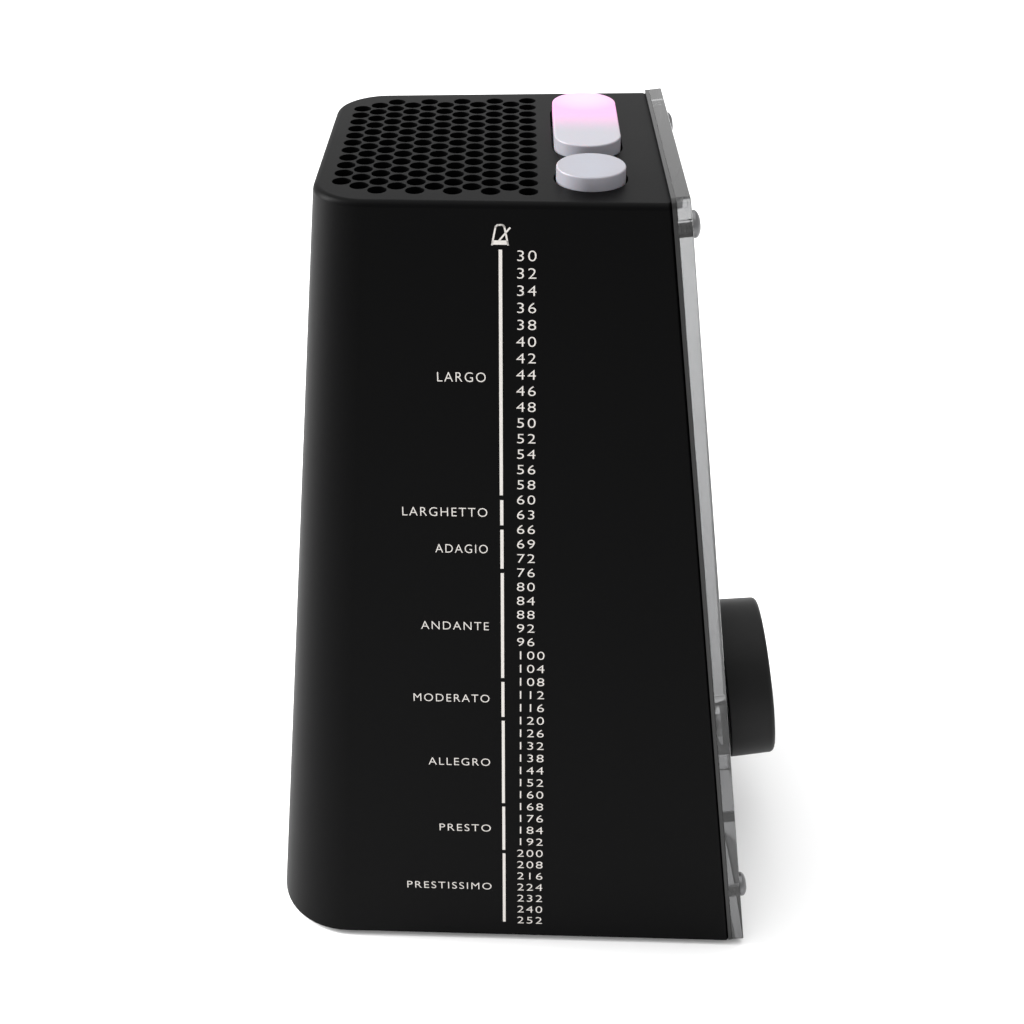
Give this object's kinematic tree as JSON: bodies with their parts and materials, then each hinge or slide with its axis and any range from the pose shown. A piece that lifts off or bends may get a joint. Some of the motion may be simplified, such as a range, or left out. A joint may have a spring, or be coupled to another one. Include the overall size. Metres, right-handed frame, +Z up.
{
  "type": "electronic metronome",
  "caption": "Electronic metronome in a tapered desk case, with a tempo dial, two top keys, a speaker grille, a clear front plate, a phones jack and a volume wheel.",
  "frame": {"origin": "middle of the whole object's box, on the surface that it stands on", "axes": "+Z up, -Y out of the leaning front, +X to the right-hand side with the phones jack"},
  "size_m": [0.061, 0.0788, 0.12],
  "materials": {
    "case_plastic": "fine satin texture",
    "inner_plastic": "moulded, plain",
    "foot_rubber": "matt",
    "screw_steel": "zinc plated",
    "black_screw": "black oxide",
    "insert_brass": "turned",
    "black_sheet": "printed black behind the plate",
    "clear_acrylic": "clear, polished edges",
    "board_green": "solder mask",
    "display_glass": "dark display",
    "light_guide": "diffusing",
    "silicone_grey": "soft",
    "plated_steel": "nickel plated",
    "dial_plastic": "satin",
    "key_plastic": "translucent white, satin",
    "plunger_plastic": "moulded",
    "lamp": "lit lens",
    "magnet": "ferrite",
    "cone_paper": "pressed paper",
    "gasket_foam": "foam",
    "cell_jacket": "plain printed jacket",
    "lead_jacket": "insulation"
  },
  "bodies": {
    "case": {"housing_shell": "case_plastic", "base_plate": "case_plastic", "battery_tray": "inner_plastic", "rubber_feet": "foot_rubber", "case_screws": "screw_steel", "plate_screws": "black_screw", "plate_inserts": "insert_brass", "front_panel": "black_sheet", "front_plate": "clear_acrylic", "main_board": "board_green", "key_board": "board_green", "side_board": "board_green", "display_glass": "display_glass", "display_frame": "inner_plastic", "display_light": "light_guide", "zebra_strips": "silicone_grey", "encoder_body": "plated_steel", "start_switch": "inner_plastic", "tap_switch": "inner_plastic", "beat_lamp": "lamp", "speaker_frame": "plated_steel", "speaker_magnet": "magnet", "speaker_cone": "cone_paper", "speaker_gasket": "gasket_foam", "battery_cells": "cell_jacket", "spring_contacts": "plated_steel", "plate_contacts": "plated_steel", "phones_jack": "inner_plastic", "volume_pot": "inner_plastic", "speaker_leads": "lead_jacket", "battery_leads": "lead_jacket", "board_ribbon": "silicone_grey"},
    "dial": {"tempo_dial": "dial_plastic", "encoder_shaft": "plated_steel"},
    "start": {"start_key": "key_plastic", "start_plunger": "plunger_plastic"},
    "tap": {"tap_key": "key_plastic", "tap_plunger": "plunger_plastic"},
    "door": {"battery_door": "case_plastic"},
    "volume": {"volume_wheel": "dial_plastic"}
  },
  "joints": [
    {"name": "tempo_turn", "type": "hinge", "parent": "case", "child": "dial", "pos_m": [0, -0.03105, 0.02727], "axis": [0, -0.9928, 0.1202], "continuous": true},
    {"name": "start_press", "type": "slide", "parent": "case", "child": "start", "axis": [0, 0, -1], "range_m": [0, 0.0006], "stiffness_N_per_m": 1500},
    {"name": "tap_press", "type": "slide", "parent": "case", "child": "tap", "axis": [0, 0, -1], "range_m": [0, 0.0006], "stiffness_N_per_m": 1500},
    {"name": "battery_door_swing", "type": "hinge", "parent": "case", "child": "door", "pos_m": [0, 0.03673, 0.01203], "axis": [-1, 0, 0], "range_deg": [0, 80]},
    {"name": "volume_turn", "type": "hinge", "parent": "case", "child": "volume", "pos_m": [0.02208, 0.00581, 0.0273], "axis": [-0.0725, -0.0024, 0.9974], "range_deg": [-135, 135]}
  ]
}
